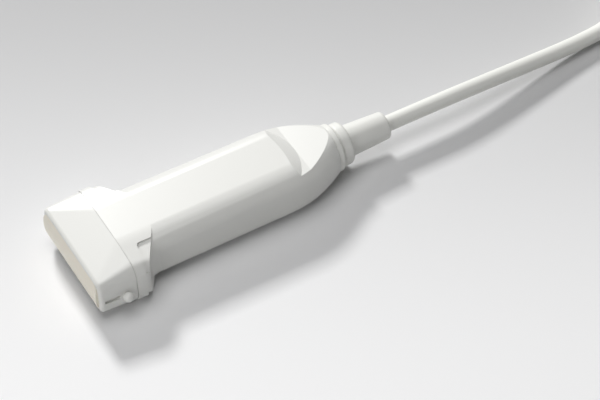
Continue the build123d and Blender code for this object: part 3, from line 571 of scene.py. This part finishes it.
def set_world():
    """Even light from all round, and a pale background wherever a ray reaches it straight."""
    world = bpy.data.worlds.new("studio")
    bpy.context.scene.world = world
    world.use_nodes = True
    tree = world.node_tree
    tree.nodes.clear()
    result = tree.nodes.new("ShaderNodeOutputWorld")
    ambient = tree.nodes.new("ShaderNodeBackground")
    ambient.inputs["Color"].default_value = colour4(AMBIENT_COLOUR)
    ambient.inputs["Strength"].default_value = AMBIENT_STRENGTH
    backdrop = tree.nodes.new("ShaderNodeBackground")
    backdrop.inputs["Color"].default_value = colour4(BACKDROP_COLOUR)
    backdrop.inputs["Strength"].default_value = 1.0
    rays = tree.nodes.new("ShaderNodeLightPath")
    seen = maths(tree, "MAXIMUM", rays.outputs["Is Camera Ray"],
                 maths(tree, "MAXIMUM", rays.outputs["Is Glossy Ray"], rays.outputs["Is Transmission Ray"]))
    choose = tree.nodes.new("ShaderNodeMixShader")
    tree.links.new(seen, choose.inputs[0])
    tree.links.new(ambient.outputs[0], choose.inputs[1])
    tree.links.new(backdrop.outputs[0], choose.inputs[2])
    tree.links.new(choose.outputs[0], result.inputs["Surface"])


def floor_group():
    """Share of the near colour in the floor's painted light falloff: it rises smoothly towards the camera, so
    the floor is painted lighter near the camera and darker behind the probe in place of the fall of the
    light.
    """
    group, entry, result = new_group("paper_sweep", [("Start", "NodeSocketFloat", 0.0),
                                                     ("Length", "NodeSocketFloat", 0.3)],
                                     [("Share", "NodeSocketFloat")])
    place = group.nodes.new("ShaderNodeTexCoord").outputs["Object"]
    along = group.nodes.new("ShaderNodeVectorMath")
    along.operation = "DOT_PRODUCT"
    along.inputs[1].default_value = FALLOFF_DIRECTION
    group.links.new(place, along.inputs[0])
    travelled = maths(group, "SUBTRACT", along.outputs["Value"], entry.outputs["Start"])
    ramp = add_node(group, "ShaderNodeMapRange", interpolation_type="SMOOTHSTEP", clamp=True)
    group.links.new(travelled, ramp.inputs["Value"])
    group.links.new(entry.outputs["Length"], ramp.inputs["From Max"])
    group.links.new(ramp.outputs["Result"], result.inputs["Share"])
    return group


def floor_material(far_colour, near_colour):
    """Seamless paper with painted light falloff: its colour runs from a painted shade behind the probe to a
    painted light towards the camera, standing in for how the light falls.
    """
    material = bpy.data.materials.new("paper_with_painted_falloff")
    material.use_nodes = True
    tree = material.node_tree
    shader = tree.nodes["Principled BSDF"]
    falloff = tree.nodes.new("ShaderNodeGroup")
    falloff.node_tree = floor_group()
    falloff.inputs["Start"].default_value = FALLOFF_START
    falloff.inputs["Length"].default_value = FALLOFF_LENGTH
    painted_floor = blend_colours(tree, falloff.outputs["Share"], colour4(far_colour), colour4(near_colour))
    tree.links.new(painted_floor, shader.inputs["Base Color"])
    shader.inputs["Roughness"].default_value = 0.8
    shader.inputs["Specular IOR Level"].default_value = 0.2
    return material


def camera_axes(settings):
    """Right, up and back directions of the camera from its azimuth, elevation and roll."""
    azimuth = radians(settings.azimuth)
    elevation = radians(settings.elevation)
    roll = radians(settings.roll)
    back = Vector((sin(azimuth) * cos(elevation), -cos(azimuth) * cos(elevation), sin(elevation)))
    level = Vector((cos(azimuth), sin(azimuth), 0.0))
    upright = back.cross(level)
    right = level * cos(roll) + upright * sin(roll)
    return right, back.cross(right), back


class PROBE_OT_stage(bpy.types.Operator):
    """Sets the floor, the lights, the world and the camera"""

    bl_idname = "probe.stage"
    bl_label = "Stage"

    def execute(self, context):
        settings = stage_settings()
        scene = context.scene
        side = FLOOR_SIDE
        mesh = bpy.data.meshes.new("floor")
        mesh.from_pydata([(-side, -side, 0), (side, -side, 0), (side, side, 0), (-side, side, 0)], [],
                         [(0, 1, 2, 3)])
        floor = bpy.data.objects.new("floor", mesh)
        scene.collection.objects.link(floor)
        # The floor's colour carries painted light: darker behind the probe and lighter towards the camera.
        mesh.materials.append(floor_material(settings.floor_far_painted_shade, settings.floor_near_painted_light))
        set_world()
        for lamp in LAMPS:
            area_light(*lamp)
        right, upright, back = camera_axes(settings)
        data = bpy.data.cameras.new("photo_camera")
        data.sensor_fit = "HORIZONTAL"
        data.sensor_width = SENSOR_WIDTH
        data.lens = settings.focal * data.sensor_width
        data.clip_start = 0.01
        data.clip_end = 50.0
        camera = bpy.data.objects.new("photo_camera", data)
        scene.collection.objects.link(camera)
        camera.rotation_mode = "QUATERNION"
        camera.rotation_quaternion = Matrix((right, upright, back)).transposed().to_quaternion()
        camera.location = Vector(settings.target) + back * settings.distance
        scene.camera = camera
        scene.view_settings.view_transform = "Standard"
        return {"FINISHED"}


OPERATORS = (PROBE_OT_cable, PROBE_OT_housing, PROBE_OT_lens, PROBE_OT_strain_relief, PROBE_OT_array,
             PROBE_OT_electronics, PROBE_OT_connector, PROBE_OT_lock, PROBE_OT_stage)
GROUPS = {"probe_finish": ProbeFinish, "probe_cable": CableSizes, "probe_stage": StageSettings}


class PROBE_PT_sidebar(bpy.types.Panel):
    """Lists the settings and the steps that dress the probe"""

    bl_idname = "PROBE_PT_sidebar"
    bl_label = "Ultrasound probe"
    bl_space_type = "VIEW_3D"
    bl_region_type = "UI"
    bl_category = "Probe"

    def draw(self, context):
        for group_name, group in GROUPS.items():
            box = self.layout.box()
            for setting in group.__annotations__:
                box.prop(getattr(context.scene, group_name), setting)
        for operator in OPERATORS:
            self.layout.operator(operator.bl_idname)


def register():
    for group_name, group in GROUPS.items():
        bpy.utils.register_class(group)
        setattr(bpy.types.Scene, group_name, bpy.props.PointerProperty(type=group))
    for item in (*OPERATORS, PROBE_PT_sidebar):
        bpy.utils.register_class(item)


def unregister():
    for item in (PROBE_PT_sidebar, *reversed(OPERATORS)):
        bpy.utils.unregister_class(item)
    for group_name, group in GROUPS.items():
        delattr(bpy.types.Scene, group_name)
        bpy.utils.unregister_class(group)


def main():
    register()
    for operator in OPERATORS:
        area, name = operator.bl_idname.split(".")
        getattr(getattr(bpy.ops, area), name)()
    bpy.context.view_layer.update()


if __name__ == "__main__":
    main()
